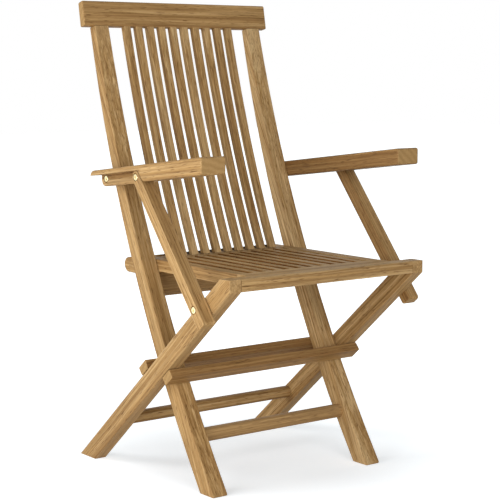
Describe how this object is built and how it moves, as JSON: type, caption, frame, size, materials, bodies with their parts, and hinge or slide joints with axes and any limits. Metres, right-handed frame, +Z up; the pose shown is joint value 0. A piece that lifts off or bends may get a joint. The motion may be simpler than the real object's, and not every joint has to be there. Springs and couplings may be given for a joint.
{
  "type": "folding teak armchair",
  "caption": "High-back folding garden armchair in slatted teak with scissor legs, flat arms on diagonal struts and brass pivot bolts.",
  "frame": {"origin": "on the floor, under the middle of the bounding box", "axes": "+X across the chair to the right as seen from in front, +Y to the back, +Z up; the sitter faces -Y"},
  "size_m": [0.5486, 0.5444, 0.9666],
  "materials": {
    "teak": "oiled, fine open grain",
    "brass": "satin",
    "steel": "plain turned",
    "dark_steel": "matt dark coating"
  },
  "bodies": {
    "back_frame": {"upright_left": "teak", "upright_right": "teak", "top_rail": "teak", "back_slat_01": "teak", "back_slat_02": "teak", "back_slat_03": "teak", "back_slat_04": "teak", "back_slat_05": "teak", "back_slat_06": "teak", "back_slat_07": "teak", "back_slat_08": "teak", "back_slat_09": "teak", "back_slat_10": "teak", "slat_tie": "dark_steel", "front_stretcher": "teak", "guide_bar_rear": "teak", "guide_bar_front": "teak", "arm_bolt_left": "brass", "arm_bolt_right": "brass", "seat_pin_left": "steel", "seat_pin_right": "steel"},
    "seat": {"seat_board_left": "teak", "seat_board_right": "teak", "front_rail": "teak", "seat_slat_01": "teak", "seat_slat_02": "teak", "seat_slat_03": "teak", "seat_slat_04": "teak", "seat_slat_05": "teak", "seat_slat_06": "teak", "seat_slat_07": "teak", "seat_slat_08": "teak", "seat_slat_09": "teak", "seat_slat_10": "teak", "seat_cross_board": "teak", "seat_rear_bar": "teak", "leg_pin_left": "steel", "leg_pin_right": "steel"},
    "rear_legs": {"rear_leg_left": "teak", "rear_leg_right": "teak", "rear_stretcher": "teak"},
    "arm_left": {"arm_left": "teak", "strut_bolt_left": "brass"},
    "arm_right": {"arm_right": "teak", "strut_bolt_right": "brass"},
    "strut_left": {"strut_left": "teak", "brace_bolt_left": "brass"},
    "strut_right": {"strut_right": "teak", "brace_bolt_right": "brass"}
  },
  "joints": [
    {"name": "seat_fold", "type": "hinge", "parent": "back_frame", "child": "seat", "pos_m": [0, 0.07325, 0.433], "axis": [-1, 0, 0], "range_deg": [0, 46]},
    {"name": "leg_fold", "type": "hinge", "parent": "seat", "child": "rear_legs", "pos_m": [0, -0.24775, 0.425], "axis": [-1, 0, 0], "range_deg": [-14, 0]},
    {"name": "arm_left_fold", "type": "hinge", "parent": "back_frame", "child": "arm_left", "pos_m": [-0.23, 0.15365, 0.602], "axis": [-1, 0, 0], "range_deg": [0, 74]},
    {"name": "arm_right_fold", "type": "hinge", "parent": "back_frame", "child": "arm_right", "pos_m": [0.23, 0.15365, 0.602], "axis": [-1, 0, 0], "range_deg": [0, 74]},
    {"name": "strut_left_fold", "type": "hinge", "parent": "arm_left", "child": "strut_left", "pos_m": [-0.25, -0.00225, 0.6156], "axis": [-1, 0, 0], "range_deg": [-56, 0]},
    {"name": "strut_right_fold", "type": "hinge", "parent": "arm_right", "child": "strut_right", "pos_m": [0.25, -0.00225, 0.6156], "axis": [-1, 0, 0], "range_deg": [-56, 0]}
  ],
  "couplings": [
    {"joint": "leg_fold", "follows": "seat_fold", "ratio": -0.298},
    {"joint": "arm_left_fold", "follows": "seat_fold", "ratio": 1.5972},
    {"joint": "arm_right_fold", "follows": "seat_fold", "ratio": 1.5972},
    {"joint": "strut_left_fold", "follows": "seat_fold", "ratio": -1.1954},
    {"joint": "strut_right_fold", "follows": "seat_fold", "ratio": -1.1954}
  ]
}
